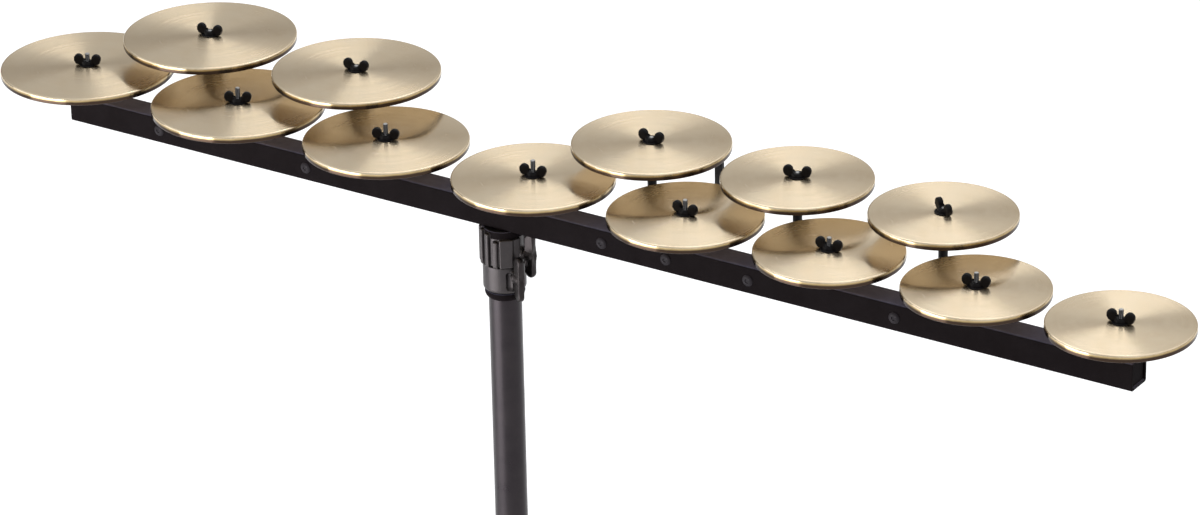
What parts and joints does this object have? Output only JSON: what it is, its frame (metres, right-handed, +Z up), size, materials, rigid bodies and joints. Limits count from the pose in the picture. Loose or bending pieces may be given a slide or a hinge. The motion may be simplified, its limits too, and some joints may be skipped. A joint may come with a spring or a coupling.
{
  "type": "crotales",
  "caption": "Chromatic octave of tuned bronze discs clamped by wing nuts on a square bar, carried by a height adjustable stand with a folding tripod.",
  "frame": {"origin": "on the floor, under the bar's centre line, midway between the outermost disc rims", "axes": "+X along the bar towards the high notes, +Y to the back, where the sharps are, +Z up"},
  "size_m": [1.0144, 0.6428, 0.9772],
  "materials": {
    "stand_metal": "dark grey, satin",
    "black_steel": "black, satin",
    "bar_paint": "black, powder coated",
    "foot_rubber": "matte",
    "disc_bronze": "circular brushed, bright"
  },
  "bodies": {
    "stand": {"column_tube": "stand_metal", "tube_collar": "stand_metal", "brace_hub": "stand_metal"},
    "collar_bolt": {"collar_bolt": "black_steel"},
    "height_rod": {"height_rod": "black_steel"},
    "rack": {"bar": "bar_paint", "bar_socket": "stand_metal", "rear_bracket": "black_steel", "stud_c_low": "black_steel", "stud_d": "black_steel", "stud_e": "black_steel", "stud_f": "black_steel", "stud_g": "black_steel", "stud_a": "black_steel", "stud_b": "black_steel", "stud_c_high": "black_steel", "post_c_sharp": "black_steel", "post_d_sharp": "black_steel", "post_f_sharp": "black_steel", "post_g_sharp": "black_steel", "post_a_sharp": "black_steel"},
    "socket_bolt": {"socket_bolt": "black_steel"},
    "leg_hub": {"leg_hub": "stand_metal"},
    "hub_bolt": {"hub_bolt": "black_steel"},
    "leg_1": {"leg_1": "stand_metal", "foot_1": "foot_rubber"},
    "brace_1": {"brace_1": "stand_metal"},
    "leg_2": {"leg_2": "stand_metal", "foot_2": "foot_rubber"},
    "brace_2": {"brace_2": "stand_metal"},
    "leg_3": {"leg_3": "stand_metal", "foot_3": "foot_rubber"},
    "brace_3": {"brace_3": "stand_metal"},
    "disc_c_low": {"disc_c_low": "disc_bronze"},
    "wing_nut_c_low": {"wing_nut_c_low": "black_steel"},
    "disc_d": {"disc_d": "disc_bronze"},
    "wing_nut_d": {"wing_nut_d": "black_steel"},
    "disc_e": {"disc_e": "disc_bronze"},
    "wing_nut_e": {"wing_nut_e": "black_steel"},
    "disc_f": {"disc_f": "disc_bronze"},
    "wing_nut_f": {"wing_nut_f": "black_steel"},
    "disc_g": {"disc_g": "disc_bronze"},
    "wing_nut_g": {"wing_nut_g": "black_steel"},
    "disc_a": {"disc_a": "disc_bronze"},
    "wing_nut_a": {"wing_nut_a": "black_steel"},
    "disc_b": {"disc_b": "disc_bronze"},
    "wing_nut_b": {"wing_nut_b": "black_steel"},
    "disc_c_high": {"disc_c_high": "disc_bronze"},
    "wing_nut_c_high": {"wing_nut_c_high": "black_steel"},
    "disc_c_sharp": {"disc_c_sharp": "disc_bronze"},
    "wing_nut_c_sharp": {"wing_nut_c_sharp": "black_steel"},
    "disc_d_sharp": {"disc_d_sharp": "disc_bronze"},
    "wing_nut_d_sharp": {"wing_nut_d_sharp": "black_steel"},
    "disc_f_sharp": {"disc_f_sharp": "disc_bronze"},
    "wing_nut_f_sharp": {"wing_nut_f_sharp": "black_steel"},
    "disc_g_sharp": {"disc_g_sharp": "disc_bronze"},
    "wing_nut_g_sharp": {"wing_nut_g_sharp": "black_steel"},
    "disc_a_sharp": {"disc_a_sharp": "disc_bronze"},
    "wing_nut_a_sharp": {"wing_nut_a_sharp": "black_steel"}
  },
  "joints": [
    {"name": "height_slide", "type": "slide", "parent": "stand", "child": "height_rod", "axis": [0, 0, 1], "range_m": [0, 0.28]},
    {"name": "rack_swivel", "type": "hinge", "parent": "height_rod", "child": "rack", "pos_m": [-0.05584, 0, 0.876], "axis": [0, 0, 1], "range_deg": [0, 300]},
    {"name": "leg_hub_slide", "type": "slide", "parent": "stand", "child": "leg_hub", "axis": [0, 0, 1], "range_m": [0, 0.12721]},
    {"name": "hub_bolt_turn", "type": "hinge", "parent": "leg_hub", "child": "hub_bolt", "pos_m": [-0.05584, 0, 0.24243], "axis": [1, 0, 0], "continuous": true},
    {"name": "leg_1_fold", "type": "hinge", "parent": "leg_hub", "child": "leg_1", "pos_m": [-0.08384, 0, 0.24243], "axis": [0, -1, 0], "range_deg": [0, 51]},
    {"name": "brace_1_fold", "type": "hinge", "parent": "stand", "child": "brace_1", "pos_m": [-0.08384, 0, 0.07036], "axis": [0, 1, 0], "range_deg": [0, 51]},
    {"name": "leg_2_fold", "type": "hinge", "parent": "leg_hub", "child": "leg_2", "pos_m": [-0.04184, 0.02425, 0.24243], "axis": [-0.866, 0.5, 0], "range_deg": [0, 51]},
    {"name": "brace_2_fold", "type": "hinge", "parent": "stand", "child": "brace_2", "pos_m": [-0.04184, 0.02425, 0.07036], "axis": [0.866, -0.5, 0], "range_deg": [0, 51]},
    {"name": "leg_3_fold", "type": "hinge", "parent": "leg_hub", "child": "leg_3", "pos_m": [-0.04184, -0.02425, 0.24243], "axis": [0.866, 0.5, 0], "range_deg": [0, 51]},
    {"name": "brace_3_fold", "type": "hinge", "parent": "stand", "child": "brace_3", "pos_m": [-0.04184, -0.02425, 0.07036], "axis": [-0.866, -0.5, 0], "range_deg": [0, 51]},
    {"name": "socket_bolt_turn", "type": "hinge", "parent": "rack", "child": "socket_bolt", "pos_m": [-0.05584, 0, 0.885], "axis": [1, 0, 0], "range_deg": [0, 55]},
    {"name": "collar_bolt_turn", "type": "hinge", "parent": "stand", "child": "collar_bolt", "pos_m": [-0.05584, 0, 0.8687], "axis": [0.8829, -0.4695, 0], "range_deg": [0, 55]},
    {"name": "disc_c_low_spin", "type": "hinge", "parent": "rack", "child": "disc_c_low", "pos_m": [-0.44004, 0, 0.95], "axis": [0, 0, 1], "continuous": true},
    {"name": "disc_d_spin", "type": "hinge", "parent": "rack", "child": "disc_d", "pos_m": [-0.29607, 0, 0.95], "axis": [0, 0, 1], "continuous": true},
    {"name": "disc_e_spin", "type": "hinge", "parent": "rack", "child": "disc_e", "pos_m": [-0.15946, 0, 0.95], "axis": [0, 0, 1], "continuous": true},
    {"name": "disc_f_spin", "type": "hinge", "parent": "rack", "child": "disc_f", "pos_m": [-0.02806, 0, 0.95], "axis": [0, 0, 1], "continuous": true},
    {"name": "disc_g_spin", "type": "hinge", "parent": "rack", "child": "disc_g", "pos_m": [0.10303, 0, 0.95], "axis": [0, 0, 1], "continuous": true},
    {"name": "disc_a_spin", "type": "hinge", "parent": "rack", "child": "disc_a", "pos_m": [0.22291, 0, 0.95], "axis": [0, 0, 1], "continuous": true},
    {"name": "disc_b_spin", "type": "hinge", "parent": "rack", "child": "disc_b", "pos_m": [0.34157, 0, 0.95], "axis": [0, 0, 1], "continuous": true},
    {"name": "disc_c_high_spin", "type": "hinge", "parent": "rack", "child": "disc_c_high", "pos_m": [0.45455, 0, 0.95], "axis": [0, 0, 1], "continuous": true},
    {"name": "disc_c_sharp_spin", "type": "hinge", "parent": "rack", "child": "disc_c_sharp", "pos_m": [-0.36517, 0.0587, 0.9698], "axis": [0, 0, 1], "continuous": true},
    {"name": "disc_d_sharp_spin", "type": "hinge", "parent": "rack", "child": "disc_d_sharp", "pos_m": [-0.22708, 0.0587, 0.9698], "axis": [0, 0, 1], "continuous": true},
    {"name": "disc_f_sharp_spin", "type": "hinge", "parent": "rack", "child": "disc_f_sharp", "pos_m": [0.03749, 0.0587, 0.9698], "axis": [0, 0, 1], "continuous": true},
    {"name": "disc_g_sharp_spin", "type": "hinge", "parent": "rack", "child": "disc_g_sharp", "pos_m": [0.16177, 0.0587, 0.9698], "axis": [0, 0, 1], "continuous": true},
    {"name": "disc_a_sharp_spin", "type": "hinge", "parent": "rack", "child": "disc_a_sharp", "pos_m": [0.28224, 0.0587, 0.9698], "axis": [0, 0, 1], "continuous": true},
    {"name": "wing_nut_c_low_turn", "type": "hinge", "parent": "rack", "child": "wing_nut_c_low", "pos_m": [-0.44004, 0, 0.95], "axis": [0, 0, 1], "continuous": true},
    {"name": "wing_nut_d_turn", "type": "hinge", "parent": "rack", "child": "wing_nut_d", "pos_m": [-0.29607, 0, 0.95], "axis": [0, 0, 1], "continuous": true},
    {"name": "wing_nut_e_turn", "type": "hinge", "parent": "rack", "child": "wing_nut_e", "pos_m": [-0.15946, 0, 0.95], "axis": [0, 0, 1], "continuous": true},
    {"name": "wing_nut_f_turn", "type": "hinge", "parent": "rack", "child": "wing_nut_f", "pos_m": [-0.02806, 0, 0.95], "axis": [0, 0, 1], "continuous": true},
    {"name": "wing_nut_g_turn", "type": "hinge", "parent": "rack", "child": "wing_nut_g", "pos_m": [0.10303, 0, 0.95], "axis": [0, 0, 1], "continuous": true},
    {"name": "wing_nut_a_turn", "type": "hinge", "parent": "rack", "child": "wing_nut_a", "pos_m": [0.22291, 0, 0.95], "axis": [0, 0, 1], "continuous": true},
    {"name": "wing_nut_b_turn", "type": "hinge", "parent": "rack", "child": "wing_nut_b", "pos_m": [0.34157, 0, 0.95], "axis": [0, 0, 1], "continuous": true},
    {"name": "wing_nut_c_high_turn", "type": "hinge", "parent": "rack", "child": "wing_nut_c_high", "pos_m": [0.45455, 0, 0.95], "axis": [0, 0, 1], "continuous": true},
    {"name": "wing_nut_c_sharp_turn", "type": "hinge", "parent": "rack", "child": "wing_nut_c_sharp", "pos_m": [-0.36517, 0.0587, 0.9698], "axis": [0, 0, 1], "continuous": true},
    {"name": "wing_nut_d_sharp_turn", "type": "hinge", "parent": "rack", "child": "wing_nut_d_sharp", "pos_m": [-0.22708, 0.0587, 0.9698], "axis": [0, 0, 1], "continuous": true},
    {"name": "wing_nut_f_sharp_turn", "type": "hinge", "parent": "rack", "child": "wing_nut_f_sharp", "pos_m": [0.03749, 0.0587, 0.9698], "axis": [0, 0, 1], "continuous": true},
    {"name": "wing_nut_g_sharp_turn", "type": "hinge", "parent": "rack", "child": "wing_nut_g_sharp", "pos_m": [0.16177, 0.0587, 0.9698], "axis": [0, 0, 1], "continuous": true},
    {"name": "wing_nut_a_sharp_turn", "type": "hinge", "parent": "rack", "child": "wing_nut_a_sharp", "pos_m": [0.28224, 0.0587, 0.9698], "axis": [0, 0, 1], "continuous": true}
  ],
  "couplings": [
    {"joint": "brace_1_fold", "follows": "leg_1_fold", "ratio": 1},
    {"joint": "leg_2_fold", "follows": "leg_1_fold", "ratio": 1},
    {"joint": "brace_2_fold", "follows": "leg_1_fold", "ratio": 1},
    {"joint": "leg_3_fold", "follows": "leg_1_fold", "ratio": 1},
    {"joint": "brace_3_fold", "follows": "leg_1_fold", "ratio": 1},
    {"joint": "leg_hub_slide", "follows": "leg_1_fold", "m_per_rad": 0.1429}
  ]
}
